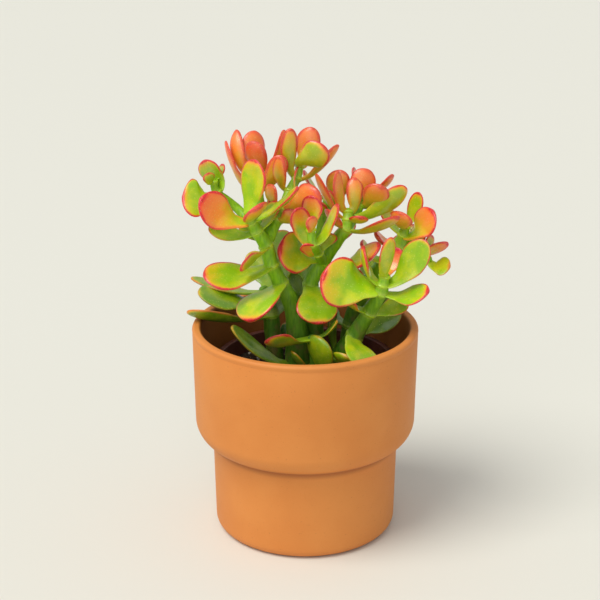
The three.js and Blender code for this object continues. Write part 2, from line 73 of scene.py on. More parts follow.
# How the plant grows, as in part.mjs: each stem holds its shoots, and a shoot is a list of nodes
#   [x, y, height over the soil, stem radius, leaf, leaf]
# in millimetres. A leaf is
#   [reach x, reach y, reach z, width, curl, roll, blush]
# with reach the vector from the node to the tip, curl the sag of the midrib as a share of the length,
# roll the turn about the length in degrees, and blush the share of red and orange, from 0 to 1.
PLANT = {
    "left_stem": {
        "main": [
            [-3, 3, -14, 7.5],
            [-4, 1, 6, 7.6, [-38, -10, 26, 16, 0.06, -5, 0.05], [-8, 27, 14, 15, 0.05, 0, 0.05]],
            [-6, -1, 37, 5.6],
            [-14, -3, 56, 4.6, [-18, -27, -13, 28, -0.08, 0, 0.35], [-2, 28, 9, 18, 0.05, 0, 0.2]],
            [-19, -6, 68, 4.2, [-38, -11, -2, 22, 0.08, -20, 0.45], [4, 26, 12, 16, 0.05, 0, 0.3]],
            [-22, -8, 80, 4.0, [-14, -17, -9, 13, -0.05, 50, 0.4], [-15, 10, 9, 12, 0.04, 0, 0.15]],
            [-27, -10, 89, 3.6, [-27, 5, 1, 13, 0.08, 0, 0.15], [10, 12, 14, 13, 0.06, 0, 0.3]],
            [-30, -12, 95, 3.2, [-27, -10, 17, 20, 0.06, -55, 0.85], [26, -4, 21, 14, 0.05, -15, 0.35]],
            [-31, -13, 99, 2.8, [5, -18, 11, 17, 0.08, 0, 0.5], [3, 7, 30, 20, 0.05, 0, 0.42]],
        ],
        "top_back": [
            [-22, -8, 80, 3.6],
            [-25, 6, 94, 3.2],
            [-27, 16, 105, 3.0, [-18, 4, 28, 10, 0.14, -50, 0.85], [14, -5, 22, 12, 0.05, -25, 0.7]],
            [-28, 20, 111, 2.7, [-11, 6, 27, 9, 0.2, 0, 0.8], [16, 6, 27, 9, 0.12, 0, 0.7]],
            [-28, 22, 115, 2.4, [-2, -6, 19, 14, 0.12, 0, 1.0], [-1, 6, 22, 15, 0.08, 0, 0.85]],
        ],
        "top_right": [
            [-22, -8, 80, 3.4],
            [-16, 1, 92, 3.2, [12, -10, 8, 13, 0.08, 0, 0.7], [-3, 13, 12, 12, 0.06, 0, 0.5]],
            [-13, 4, 97, 3.0, [20, -10, 15, 18, 0.06, -50, 0.85], [-7, 5, 14, 14, 0.08, 0, 0.7]],
            [-9, 10, 106, 2.8, [-5, -5, 22, 9, 0.1, 0, 0.65], [6, 9, 13, 9, 0.08, 0, 0.5]],
            [-5, 16, 112, 2.6, [-3, -3, 30, 10, 0.06, 40, 0.5], [24, 7, 18, 9, 0.04, 0, 0.65]],
            [-3, 18, 119, 2.2, [14, -10, 14, 17, 0.05, -50, 0.4], [7, 6, 21, 14, 0.05, 0, 0.8]],
        ],
        "left_tip": [
            [-27, -10, 89, 3.0],
            [-38, 0, 99, 2.6],
            [-49, -2, 109, 2.4, [-19, -7, 0, 23, 0.06, -55, 0.35], [-8, 5, 17, 17, 0.06, -20, 0.4]],
            [-51, -2, 115, 2.0, [-3, -6, 7, 7, 0.1, 0, 0.25], [5, 6, 9, 9, 0.1, 0, 0.3]],
        ],
    },
    "middle_stem": {
        "main": [
            [7, 10, -14, 6.0],
            [5, 10, 34, 5.0, [-10, 12, 22, 14, 0.05, 0, 0.1], [12, 18, 12, 16, 0.05, 0, 0.1]],
            [3, 6, 52, 4.4, [4, -25, -15, 24, -0.08, 0, 0.3], [-4, 24, 9, 16, 0.05, 0, 0.2]],
            [10, 5, 66, 4.2, [-25, -12, 12, 24, 0.05, -45, 0.5], [32, -10, 14, 18, 0.1, 40, 0.6]],
            [18, 5, 79, 3.9],
            [23, 4, 86, 3.5, [29, -12, 11, 17, 0.06, 0, 0.45], [-8, -13, 14, 13, 0.08, 0, 0.8]],
            [24, 5, 91, 3.0, [-18, 4, 26, 10, 0.04, 0, 0.7], [7, -16, 7, 11, 0.1, 0, 0.4]],
            [24, 7, 95, 2.6, [-6, -4, 25, 9, 0.04, 60, 0.75], [4, 8, 18, 10, 0.08, 0, 0.65]],
        ],
        "front_tip": [
            [10, 5, 66, 3.2],
            [7, -8, 76, 2.9, [-7, -13, 9, 9, 0.05, 0, 0.8], [8, 10, 8, 10, 0.05, 0, 0.3]],
            [4, -16, 84, 2.6, [-9, -3, 21, 13, 0.06, 30, 0.65], [14, 2, 22, 12, 0.06, -30, 0.45]],
            [3, -17, 92, 2.2, [0, -7, 10, 8, 0.1, 0, 0.75], [0, 6, 18, 13, 0.1, 0, 0.7]],
        ],
        "right_tip": [
            [23, 4, 86, 3.2],
            [28, 11, 91, 3.0, [29, -2, 18, 14, 0.05, 0, 0.35], [-15, 8, 13, 11, 0.06, 0, 0.5]],
            [31, 14, 97, 2.7, [12, -12, 15, 15, 0.05, 0, 0.7], [5, 4, 20, 15, 0.06, 0, 0.8]],
            [34, 17, 104, 2.3, [16, 1, 10, 11, 0.08, 0, 0.8], [-6, 9, 12, 10, 0.08, 0, 0.6]],
        ],
        "back_tip": [
            [3, 6, 52, 3.8],
            [8, 18, 72, 3.4, [-16, 14, 12, 14, 0.06, 0, 0.3], [20, 18, 8, 14, 0.06, 0, 0.3]],
            [11, 22, 90, 3.0, [-6, -14, 12, 14, 0.06, 0, 0.4], [8, 16, 14, 13, 0.06, 0, 0.5]],
            [13, 23, 97, 2.6, [8, -3, 19, 14, 0.08, 0, 0.6], [-14, 8, 16, 12, 0.06, 0, 0.5]],
        ],
    },
    "right_stem": {
        "main": [
            [16, -6, -14, 5.6],
            [20, -7, 12, 5.4, [-4, 6, 29, 14, 0.05, 0, 0.05], [4, -22, 10, 18, 0.05, 0, 0.05]],
            [28, -11, 27, 5.0, [5, -26, -10, 22, -0.08, 0, 0.05], [25, 13, 15, 21, 0.06, 25, 0.0]],
            [36, -15, 43, 4.2, [-16, -9, 14, 14, 0.06, 30, 0.5], [22, 8, 4, 14, 0.06, 0, 0.2]],
            [42, -19, 56, 3.8, [-33, -9, 13, 29, 0.05, -50, 0.45], [26, -10, 5, 17, 0.08, 20, 0.3]],
            [43, -20, 61, 3.4, [-11, 2, 22, 17, 0.06, 20, 0.3], [23, 0, 26, 17, 0.06, 42, 0.25]],
            [44, -20, 66, 2.8, [3, -7, 25, 10, 0.06, 40, 0.35], [8, 11, 13, 12, 0.12, 0, 0.95]],
        ],
    },
    "back_right_stem": {
        "main": [
            [24, 22, -14, 5.6],
            [27, 24, 20, 5.0, [24, 10, 16, 18, 0.06, 0, 0.15], [-20, 16, 16, 17, 0.06, 0, 0.15]],
            [35, 23, 44, 4.6, [8, 28, 10, 18, 0.06, 0, 0.2], [-4, -14, 16, 14, 0.06, 0, 0.2]],
            [46, 18, 62, 4.0, [16, 22, 8, 16, 0.06, 0, 0.3], [-14, -8, 14, 14, 0.06, 0, 0.3]],
            [53, 15, 73, 3.5, [-13, -11, 10, 14, 0.08, 0, 0.95], [15, 6, 8, 14, 0.06, 0, 0.5]],
            [56, 14, 79, 3.1, [16, -5, 17, 20, 0.06, 40, 0.75], [-10, 12, 14, 13, 0.06, 0, 0.5]],
            [57, 14, 84, 2.6, [-3, -10, 12, 14, 0.1, 0, 0.7], [8, 6, 19, 10, 0.06, 0, 0.4]],
        ],
        "right_tip": [
            [46, 18, 62, 3.4],
            [57, 18, 62, 3.0],
            [65, 16, 62, 2.8, [17, -4, 13, 12, 0.06, 0, 0.75], [2, 17, 8, 13, 0.06, 0, 0.4]],
            [71, 13, 65, 2.2, [12, -6, -2, 14, 0.06, 20, 0.15], [2, 5, 13, 9, 0.08, 0, 0.4]],
        ],
    },
    "back_left_stem": {
        "main": [
            [-16, 14, -14, 5.2],
            [-20, 15, 30, 4.8, [-48, -13, 7, 17, 0.05, 30, 0.15], [8, 28, 12, 17, 0.06, 0, 0.1]],
            [-22, 17, 38, 4.0, [-40, -4, 8, 23, 0.06, -30, 0.05], [12, 18, 18, 15, 0.06, 0, 0.1]],
            [-24, 18, 44, 3.2, [-43, 9, 5, 14, 0.05, 0, 0.15], [-8, 24, 16, 15, 0.06, 0, 0.1]],
        ],
    },
    "front_sprout": {
        "main": [
            [3, -6, -12, 3.6],
            [6, -10, 5, 3.4, [2, -10, 25, 21, 0.06, 0, 0.02], [-13, -8, 15, 11, 0.06, 0, 0.1]],
            [4, -13, 26, 2.8, [-26, -10, 3, 17, 0.06, 48, 0.35], [14, -3, 12, 9, 0.06, 0, 0.1]],
        ],
    },
}

# The leaf's shape, as in part.mjs.
LEAF_THICKNESS = 0.22  # share of the width
PETIOLE_WIDTH = 0.34  # share of the width
WIDEST_AT = 0.64  # share of the length
WIDENING = 1.3
LEAF_CUP = 0.12  # rise of the margins, as a share of the half width
CLASP = 1.6 * MM  # from the stem's surface out to a leaf's root

Leaf = namedtuple("Leaf", "x y z width curl roll blush")
Node = namedtuple("Node", "x y height radius leaves")
Sample = namedtuple("Sample", "at radius ring height", defaults=(0.0, 0.0))


# ---- Meshes ----
def mesh_object(name, points, faces, material, **attributes):
    """A smooth mesh with one material, linked into the scene. Each attribute is a list of one number per
    point.
    """
    mesh = bpy.data.meshes.new(name)
    mesh.from_pydata([tuple(p) for p in points], [], faces)
    mesh.validate()
    mesh.shade_smooth()
    for key, values in attributes.items():
        layer = mesh.attributes.new(key, "FLOAT", "POINT")
        layer.data.foreach_set("value", np.asarray(values, np.float32))
    obj = bpy.data.objects.new(name, mesh)
    bpy.context.scene.collection.objects.link(obj)
    mesh.materials.append(material)
    return obj


def settle(obj, slot, *nodes):
    """Hands a finished piece to the frame."""
    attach(obj, "root")
    if nodes:
        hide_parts(*nodes)


def grid_faces(rows, columns, start=0):
    """Faces between rings of equal count, each ring closed on itself."""
    faces = []
    for i in range(rows - 1):
        for j in range(columns):
            k = (j + 1) % columns
            low = start + i * columns
            high = low + columns
            faces.append((low + j, low + k, high + k, high + j))
    return faces


def smoothstep(t):
    """0 up to t = 0, 1 from t = 1 on, and a smooth rise between."""
    t = min(max(t, 0.0), 1.0)
    return t * t * (3 - 2 * t)


def circle(count):
    """The angles of evenly spaced points round a circle."""
    return [2 * math.pi * j / count for j in range(count)]


def turned(name, profile, segments, material):
    """A body of revolution about Z from (radius, height) points that start and end on the axis."""
    points = [(r * math.cos(a), r * math.sin(a), z) for r, z in profile for a in circle(segments)]
    return mesh_object(name, points, grid_faces(len(profile), segments), material)


def arc(centre_r, centre_z, radius, start, end, steps):
    """Profile points along an arc, from one angle in degrees to another."""
    angles = [math.radians(start + (end - start) * i / steps) for i in range(steps + 1)]
    return [(centre_r + radius * math.cos(a), centre_z + radius * math.sin(a)) for a in angles]


# ---- Materials ----
class Nodes:
    """A short way to write a node tree for one material."""

    def __init__(self, name):
        self.material = bpy.data.materials.new(name)
        self.material.use_nodes = True
        self.tree = self.material.node_tree
        self.shader = self.tree.nodes["Principled BSDF"]

    def add(self, kind, inputs=None, **settings):
        node = self.tree.nodes.new(kind)
        for key, value in settings.items():
            setattr(node, key, value)
        for key, value in (inputs or {}).items():
            self.feed(node, key, value)
        return node

    def feed(self, node, key, value):
        if isinstance(value, bpy.types.NodeSocket):
            self.tree.links.new(value, node.inputs[key])
        else:
            node.inputs[key].default_value = value

    def set(self, **values):
        for key, value in values.items():
            self.feed(self.shader, key.replace("_", " "), value)

    def attribute(self, name):
        return self.add("ShaderNodeAttribute", attribute_name=name).outputs["Fac"]

    def math(self, operation, a, b=0.0):
        return self.add("ShaderNodeMath", {0: a, 1: b}, operation=operation).outputs[0]

    def ramp(self, value, low, high, to_low=0.0, to_high=1.0):
        """Turns value from low..high into to_low..to_high, smoothly and clamped."""
        inputs = {"Value": value, "From Min": low, "From Max": high, "To Min": to_low, "To Max": to_high}
        node = self.add("ShaderNodeMapRange", inputs, interpolation_type="SMOOTHSTEP")
        return node.outputs["Result"]

    def mix(self, factor, a, b, blend="MIX"):
        node = self.add("ShaderNodeMix", data_type="RGBA", blend_type=blend)
        for socket, value in zip((node.inputs[0], node.inputs[6], node.inputs[7]), (factor, a, b)):
            if isinstance(value, bpy.types.NodeSocket):
                self.tree.links.new(value, socket)
            else:
                socket.default_value = value
        return node.outputs[2]

    def position(self, scale=(1, 1, 1)):
        place = self.add("ShaderNodeTexCoord").outputs["Object"]
        return self.add("ShaderNodeMapping", {"Vector": place, "Scale": scale}).outputs["Vector"]

    def noise(self, size, detail=4.0, roughness=0.5, stretch=(1, 1, 1)):
        """Noise whose features are about size metres across."""
        inputs = {
            "Vector": self.position(stretch),
            "Scale": 1 / size,
            "Detail": detail,
            "Roughness": roughness,
        }
        return self.add("ShaderNodeTexNoise", inputs).outputs["Fac"]

    def bump(self, height, distance, strength=1.0, below=None):
        inputs = {"Height": height, "Distance": distance, "Strength": strength}
        if below is not None:
            inputs["Normal"] = below
        return self.add("ShaderNodeBump", inputs).outputs["Normal"]


def rgb(red, green, blue):
    """A linear colour from its display values, 0 to 255."""
    shown = [value / 255 for value in (red, green, blue)]
    linear = [c / 12.92 if c <= 0.04045 else ((c + 0.055) / 1.055) ** 2.4 for c in shown]
    return (*linear, 1.0)


def leaf_material():
    """Jade leaf: lime to deep green, blushed orange from the tip and margins, with a crimson rim."""
    n = Nodes("jade_leaf")
    along = n.attribute("along")
    rim = n.attribute("rim")
    blush = n.attribute("blush")
    age = n.attribute("age")
    face = n.attribute("face")
    shift = n.attribute("shift")

    patches = n.noise(9 * MM, 3.0, 0.55)
    fine = n.noise(0.9 * MM, 4.0, 0.6)
    # Young growth is lime and old growth deep green. The deep green is also painted shade, laid on the
    # leaves that stand behind the others.
    young = n.mix(n.ramp(patches, 0.35, 0.68), rgb(146, 190, 6), rgb(196, 206, 16))
    old = n.mix(n.ramp(patches, 0.35, 0.7), rgb(36, 84, 14), rgb(82, 134, 18))
    green = n.mix(age, young, old)
    green = n.mix(n.ramp(along, 0.0, 0.3, 0.55, 0.0), green, rgb(172, 212, 40))

    # The blush spreads from the tip and the margins with the leaf's own share of it.
    reach = n.math("ADD", along, n.ramp(rim, 3.0, 0.0, 0.0, 0.45))
    reach = n.math("ADD", reach, n.math("MULTIPLY", n.math("SUBTRACT", patches, 0.5), 0.5))
    spread = n.math("SUBTRACT", n.math("ADD", reach, n.math("MULTIPLY", blush, 1.65)), 1.66)
    yellow = n.mix(n.ramp(spread, -0.35, 0.1), green, rgb(222, 184, 22))
    orange = n.mix(n.ramp(spread, -0.05, 0.42), yellow, rgb(246, 136, 58))
    red = n.mix(n.ramp(spread, 0.4, 0.95), orange, rgb(240, 72, 42))

    # The rim is a thin crimson line, wider on leaves that have more blush.
    uneven = n.ramp(patches, 0.3, 0.7, 0.45, 1.25)
    width = n.math("MULTIPLY", n.ramp(blush, 0.0, 0.6, 0.3, 1.1), uneven)
    line = n.math("SUBTRACT", width, rim)
    rimmed = n.math("MULTIPLY", n.ramp(line, -0.6, 0.25), n.ramp(along, 0.15, 0.6))
    rimmed = n.math("MULTIPLY", rimmed, n.ramp(blush, 0.02, 0.3, 0.25, 0.95))
    crimson = n.mix(n.ramp(fine, 0.35, 0.65), rgb(196, 16, 48), rgb(226, 34, 44))
    colour = n.mix(rimmed, red, crimson)

    # Undersides are a duller orange, and tiny pale dots are scattered over both faces.
    under = n.math("MULTIPLY", n.ramp(face, 0.15, -0.35), n.ramp(blush, 0.1, 0.7, 0.0, 0.3))
    colour = n.mix(under, colour, rgb(238, 140, 66))
    cells = n.add("ShaderNodeTexVoronoi", {"Vector": n.position(), "Scale": 1 / (1.5 * MM)})
    dot = n.ramp(cells.outputs["Distance"], 0.24, 0.1)
    colour = n.mix(n.math("MULTIPLY", dot, 0.3), colour, rgb(238, 232, 140))
    light = n.math("ADD", n.math("MULTIPLY", fine, 0.22), n.math("MULTIPLY", shift, 0.07))
    light = n.math("ADD", light, 0.9)
    tint = n.add("ShaderNodeCombineColor", {0: light, 1: light, 2: light}).outputs[0]
    colour = n.mix(1.0, colour, tint, "MULTIPLY")

    n.set(Base_Color=colour)
    n.set(Roughness=n.ramp(n.noise(4 * MM, 4.0, 0.6), 0.3, 0.7, 0.3, 0.46))
    n.set(Subsurface_Weight=0.3, Subsurface_Radius=(1.0, 0.8, 0.2), Subsurface_Scale=3 * MM)
    n.set(Specular_IOR_Level=0.5, Coat_Weight=0.42, Coat_Roughness=0.2)
    skin = n.bump(fine, 0.12 * MM, 0.35)
    pitted = n.bump(dot, 0.05 * MM, 0.4, skin)
    n.set(Normal=n.bump(patches, 0.6 * MM, 0.3, pitted))
    return n.material


def stem_material():
    """Fleshy green stem, streaked along its length, with pale rings at its nodes and a corky foot."""
    n = Nodes("jade_stem")
    ring = n.attribute("ring")
    age = n.attribute("age")
    streaks = n.noise(1.3 * MM, 5.0, 0.6, (1, 1, 0.16))
    patches = n.noise(7 * MM, 3.0, 0.5)
    young = n.mix(n.ramp(streaks, 0.3, 0.7), rgb(116, 172, 0), rgb(150, 202, 12))
    old = n.mix(n.ramp(streaks, 0.3, 0.7), rgb(62, 112, 12), rgb(100, 144, 28))
    colour = n.mix(age, young, old)
    cork = n.math("MULTIPLY", n.ramp(patches, 0.5, 0.72), n.ramp(age, 0.6, 1.0))
    colour = n.mix(n.math("MULTIPLY", cork, 0.75), colour, rgb(128, 106, 62))
    colour = n.mix(n.math("MULTIPLY", ring, 0.6), colour, rgb(206, 220, 90))
    n.set(Base_Color=colour)
    n.set(Roughness=n.ramp(streaks, 0.25, 0.75, 0.38, 0.62))
    n.set(Subsurface_Weight=0.15, Subsurface_Radius=(0.8, 0.8, 0.2), Subsurface_Scale=2 * MM)
    n.set(Coat_Weight=0.12, Coat_Roughness=0.3)
    n.set(Normal=n.bump(patches, 0.8 * MM, 0.35, n.bump(streaks, 0.35 * MM, 0.6)))
    return n.material


def clay_material(crease):
    """Matte orange clay with a faint grain and specks, with painted shade in a dark line at the height of
    the crease and on the inside of the upper tier.
    """
    n = Nodes("matte_clay")
    clouds = n.noise(38 * MM, 3.0, 0.5)
    grain = n.noise(0.5 * MM, 5.0, 0.7)
    throwing = n.noise(3.2 * MM, 3.0, 0.5, (0.05, 0.05, 1))
    colour = n.mix(n.ramp(clouds, 0.3, 0.7), rgb(214, 131, 59), rgb(220, 139, 66))
    colour = n.mix(n.ramp(grain, 0.56, 0.74, 0.0, 0.4), colour, rgb(188, 102, 52))
    specks = n.noise(1.1 * MM, 2.0, 0.4)
    colour = n.mix(n.ramp(specks, 0.7, 0.76, 0.0, 0.35), colour, rgb(150, 78, 42))
    # Painted shade: a dark band round the pot at the height of the crease, where the shoulder meets the
    # lower tier.
    height = n.add("ShaderNodeSeparateXYZ", {0: n.position()}).outputs["Z"]
    apart = n.math("ABSOLUTE", n.math("SUBTRACT", height, crease))
    colour = n.mix(n.ramp(apart, 0.2 * MM, 4.5 * MM, 0.65, 0.0), colour, rgb(140, 70, 30))

    # Painted shade: the inside of the upper tier is darkened.
    radius = n.add("ShaderNodeVectorMath", {0: n.position((1, 1, 0))}, operation="LENGTH").outputs["Value"]
    bore = POT_RADIUS - POT_WALL
    inward = n.ramp(radius, bore + 1.5 * MM, bore + 0.2 * MM)
    upward = n.ramp(height, SHOULDER_TOP - 4 * MM, SHOULDER_TOP)
    painted_inner_shade = n.math("MULTIPLY", n.math("MULTIPLY", inward, upward), 0.6)
    colour = n.mix(painted_inner_shade, colour, rgb(104, 58, 30))
    n.set(Base_Color=colour)
    n.set(Roughness=n.ramp(grain, 0.3, 0.7, 0.5, 0.66))
    n.set(Specular_IOR_Level=0.4)
    n.set(Normal=n.bump(throwing, 0.25 * MM, 0.25, n.bump(grain, 0.07 * MM, 0.5)))
    return n.material


def plastic_material():
    """Thin brown moulded plastic, scuffed and a little dusty."""
    n = Nodes("brown_plastic")
    dust = n.noise(6 * MM, 5.0, 0.65)
    scuffs = n.noise(0.8 * MM, 4.0, 0.6, (0.3, 0.3, 1))
    colour = n.mix(n.ramp(dust, 0.42, 0.75, 0.0, 0.4), rgb(92, 44, 34), rgb(126, 86, 66))
    n.set(Base_Color=colour)
    n.set(Roughness=n.ramp(scuffs, 0.3, 0.7, 0.36, 0.6))
    n.set(Normal=n.bump(scuffs, 0.06 * MM, 0.4))
    return n.material


def soil_material():
    """Dark moist potting mix."""
    n = Nodes("potting_soil")
    crumbs = n.noise(1.6 * MM, 6.0, 0.7)
    patches = n.noise(9 * MM, 3.0, 0.5)
    colour = n.mix(n.ramp(crumbs, 0.35, 0.65), rgb(24, 17, 12), rgb(66, 48, 34))
    colour = n.mix(n.ramp(patches, 0.5, 0.75, 0.0, 0.5), colour, rgb(84, 66, 46))
    n.set(Base_Color=colour, Roughness=0.93)
    n.set(Normal=n.bump(crumbs, 0.9 * MM, 0.9))
    return n.material


def chip_material(name, dark, light, size):
    """Bits of bark, perlite or fibre: two tones and a rough skin."""
    n = Nodes(name)
    tone = n.noise(size, 5.0, 0.65)
    n.set(Base_Color=n.mix(n.ramp(tone, 0.3, 0.7), dark, light), Roughness=0.88)
    n.set(Normal=n.bump(tone, 0.3 * size, 0.8))
    return n.material


# ---- Stems ----
YOUNG_ABOVE = 66  # millimetres over the soil
OLD_DEPTH = 56  # how far below that the growth is fully old
LIT_BEFORE = -36  # leaves that reach this far to the front stand in full light
SHADE_DEPTH = 46  # how far behind that they are fully shaded
STEM_AGE_LEAD = 8  # a stem is as old as the leaves this far below

STEPS_PER_SPAN = 14
STEM_SIDES = 22
NODE_SWELLING = 0.1  # share of the stem's radius
NODE_RING = 1.5 * MM  # how far a node's swelling and pale ring reach along the stem
DOME = ((0.8, 0.6), (0.45, 0.9))  # rings of a rounded end: radius and height, as shares of the radius
SKIN_VOXEL = 0.55 * MM
SKIN_SMOOTHING = 0.5
SKIN_PASSES = 4
LUMP_SIZE = 5 * MM
LUMP_DEPTH = 0.25 * MM


def as_node(row):
    """A row of PLANT with names for its values."""
    return Node(*row[:4], [Leaf(*leaf) for leaf in row[4:]])


def node_point(node):
    return Vector((node.x * MM, node.y * MM, SOIL_TOP + node.height * MM))


def axis_at(nodes, i):
    """The direction in which a shoot grows at one of its nodes, as in part.mjs."""
    ahead = nodes[min(i + 1, len(nodes) - 1)]
    behind = nodes[max(i - 1, 0)]
    return (node_point(ahead) - node_point(behind)).normalized()


def age_at(height):
    """0 for young growth at the top of the plant, 1 for the oldest at the soil."""
    return smoothstep((YOUNG_ABOVE - height) / OLD_DEPTH)


def shade_at(y):
    """0 for a leaf that reaches out into the light in front, 1 for one behind the others."""
    return smoothstep((y - LIT_BEFORE) / SHADE_DEPTH)


def catmull_rom(a, b, c, d, t):
    """A smooth curve through b and c, for t from 0 to 1."""
    slope = (c - a) * t
    bend = (2 * a - 5 * b + 4 * c - d) * t * t
    twist = (3 * b - a - 3 * c + d) * t**3
    return 0.5 * ((2 * b) + slope + bend + twist)


def shoot_samples(nodes):
    """Samples along a shoot, swollen and ringed at the nodes that bear leaves."""
    points = [node_point(node) for node in nodes]
    radii = [node.radius * MM for node in nodes]
    points = [points[0]] + points + [points[-1] + axis_at(nodes, len(nodes) - 1) * radii[-1]]
    radii = [radii[0]] + radii + [radii[-1]]
    samples = []
    for i in range(len(nodes) - 1):
        here, there = nodes[i : i + 2]
        span = (points[i + 2] - points[i + 1]).length
        rise = (there.height - here.height) or 1  # a level span is shaded along its length too
        for step in range(STEPS_PER_SPAN):
            t = step / STEPS_PER_SPAN
            at = catmull_rom(*points[i : i + 4], t)
            radius = catmull_rom(*radii[i : i + 4], t)
            leafy = there.leaves if t > 0.5 else here.leaves
            gap = min(t, 1 - t) * span
            ring = math.exp(-((gap / NODE_RING) ** 2)) if leafy else 0.0
            samples.append(Sample(at, radius * (1 + NODE_SWELLING * ring), ring, here.height + rise * t))
    samples.append(Sample(points[-2], radii[-1], 0.0, nodes[-1].height))
    return samples


def tube(samples, sides, start=0):
    """Points and faces of a closed tube along the samples, with a domed end."""
    tangent = (samples[1].at - samples[0].at).normalized()
    u = tangent.orthogonal().normalized()
    points = []
    for i, sample in enumerate(samples):
        ahead = samples[min(i + 1, len(samples) - 1)].at
        behind = samples[max(i - 1, 0)].at
        tangent = (ahead - behind).normalized()
        u = (u - tangent * u.dot(tangent)).normalized()
        v = tangent.cross(u)
        for angle in circle(sides):
            points.append(sample.at + (u * math.cos(angle) + v * math.sin(angle)) * sample.radius)
    end = samples[-1]
    for share, height in DOME:
        for angle in circle(sides):
            spoke = (u * math.cos(angle) + v * math.sin(angle)) * end.radius * share
            points.append(end.at + spoke + tangent * end.radius * height)
    rings = len(samples) + len(DOME)
    faces = grid_faces(rings, sides, start)
    top = start + (rings - 1) * sides
    faces.append(tuple(range(top, top + sides)))
    faces.append(tuple(start + j for j in reversed(range(sides))))
    return points, faces


def fused(obj):
    """The points and faces of an object's parts, fused into one smooth skin. The object is removed."""
    fuse = obj.modifiers.new("fuse", "REMESH")
    fuse.mode = "VOXEL"
    fuse.voxel_size = SKIN_VOXEL
    relax = obj.modifiers.new("relax", "SMOOTH")
    relax.factor = SKIN_SMOOTHING
    relax.iterations = SKIN_PASSES
    mesh = obj.evaluated_get(bpy.context.evaluated_depsgraph_get()).to_mesh()
    points = [v.co.copy() for v in mesh.vertices]
    faces = [tuple(p.vertices) for p in mesh.polygons]
    obj.to_mesh_clear()
    bpy.data.objects.remove(obj)
    return points, faces


def build_stem(name, shoots, material):
    """One stem with its branches, as a single skin."""
    points = []
    faces = []
    samples = []
    for nodes in shoots.values():
        line = shoot_samples(nodes)
        more, sides = tube(line, STEM_SIDES, len(points))
        points += more
        faces += sides
        samples += line
    skin, polygons = fused(mesh_object(name + "_skin", points, faces, material))

    centres = np.array([sample.at for sample in samples])
    nearest = [samples[int(np.argmin(((centres - np.array(p)) ** 2).sum(1)))] for p in skin]
    obj = mesh_object(
        "fine_" + name,
        [p + noise.noise_vector(p / LUMP_SIZE) * LUMP_DEPTH for p in skin],
        polygons,
        material,
        ring=[sample.ring for sample in nearest],
        # On stems this value holds age alone, taken from the height.
        age=[age_at(sample.height - STEM_AGE_LEAD) for sample in nearest],
    )
    settle(obj, "stem", name)


# ---- Leaves ----
ACROSS = 26  # points round a leaf's section
NEAR_STATIONS = 15  # from the root to the widest place
FAR_STATIONS = 11  # from there to the tip
LAST_TURN = 0.495 * math.pi  # ends just short of the tip, where a section would shrink to a point
ROOT_START = 0.55  # where a base starts inside the stem, as a share of the stem's radius
ROOT_REACH = 0.2  # share of the length over which the base joins the midrib
CLASP_REACH = 0.16  # share of the length that is widened to clasp the stem
CLASP_WIDTH = 0.8  # half the width there, as a share of the stem's radius
UPPER_SHARE = 0.42  # of the thickness, over the midrib
LOWER_SHARE = 0.58
EDGE_THINNING = 0.25
GROOVE_DEPTH = 0.1  # of the midrib's dent, as a share of the thickness
GROOVE_WIDTH = 0.22
MARGIN_WAVE = 0.035
WAVE_RATE = 7
LOPSIDED = 0.05
TIP_NEARNESS = 0.8  # weighs the way to the tip against the way to the margin

COLLAR_SIDES = 28
COLLAR_STEPS = 6
COLLAR_SEAT = 0.92  # share of the stem's radius
COLLAR_SIZE = 0.95 * MM
COLLAR_STRETCH = 1.15
FAR_FROM_RIM = 9.0

LEAF_KEYS = ("along", "rim", "face", "blush", "age", "shift")


def outline(s):
    """Half the width of a leaf along its length, as a share of its widest half."""
    if s < WIDEST_AT:
        return PETIOLE_WIDTH + (1 - PETIOLE_WIDTH) * math.sin(0.5 * math.pi * s / WIDEST_AT) ** WIDENING
    return math.sqrt(max(0.0, 1 - ((s - WIDEST_AT) / (1 - WIDEST_AT)) ** 2))


def stations():
    """Where a leaf's sections lie, as shares of its length. They crowd together towards the tip."""
    near = [WIDEST_AT * i / NEAR_STATIONS for i in range(NEAR_STATIONS)]
    turns = [LAST_TURN * i / FAR_STATIONS for i in range(FAR_STATIONS + 1)]
    return near + [WIDEST_AT + (1 - WIDEST_AT) * math.sin(t) for t in turns]


def leaf_line(node, axis, out, leaf):
    """The midrib's points, the direction that the upper face looks in, and the leaf's length."""
    root = node_point(node) + out * (node.radius * MM + CLASP)
    tip = node_point(node) + Vector(leaf[:3]) * MM
    length = (tip - root).length
    along = (tip - root).normalized()
    up = (axis - along * axis.dot(along)).normalized()
    inside = node_point(node) + out * node.radius * ROOT_START * MM
    line = []
    for s in stations():
        sagging = root.lerp(tip, s) - up * leaf.curl * length * 4 * s * (1 - s)
        line.append(inside.lerp(sagging, smoothstep(s / ROOT_REACH)))
    return line, up, length


def transported(line, up):
    """The line's tangents, and the upper face's direction carried along it both ways from the middle."""
    count = len(line)
    tangents = [(line[min(i + 1, count - 1)] - line[max(i - 1, 0)]).normalized() for i in range(count)]
    middle = NEAR_STATIONS
    ups = [None] * count
    ups[middle] = (up - tangents[middle] * up.dot(tangents[middle])).normalized()
    for i in range(middle + 1, count):
        ups[i] = (ups[i - 1] - tangents[i] * ups[i - 1].dot(tangents[i])).normalized()
    for i in range(middle - 1, -1, -1):
        ups[i] = (ups[i + 1] - tangents[i] * ups[i + 1].dot(tangents[i])).normalized()
    return tangents, ups


def add_point(parts, point, *values):
    """Adds a point with its shading values, in the order of LEAF_KEYS."""
    parts["points"].append(point)
    for key, value in zip(LEAF_KEYS, values):
        parts[key].append(value)


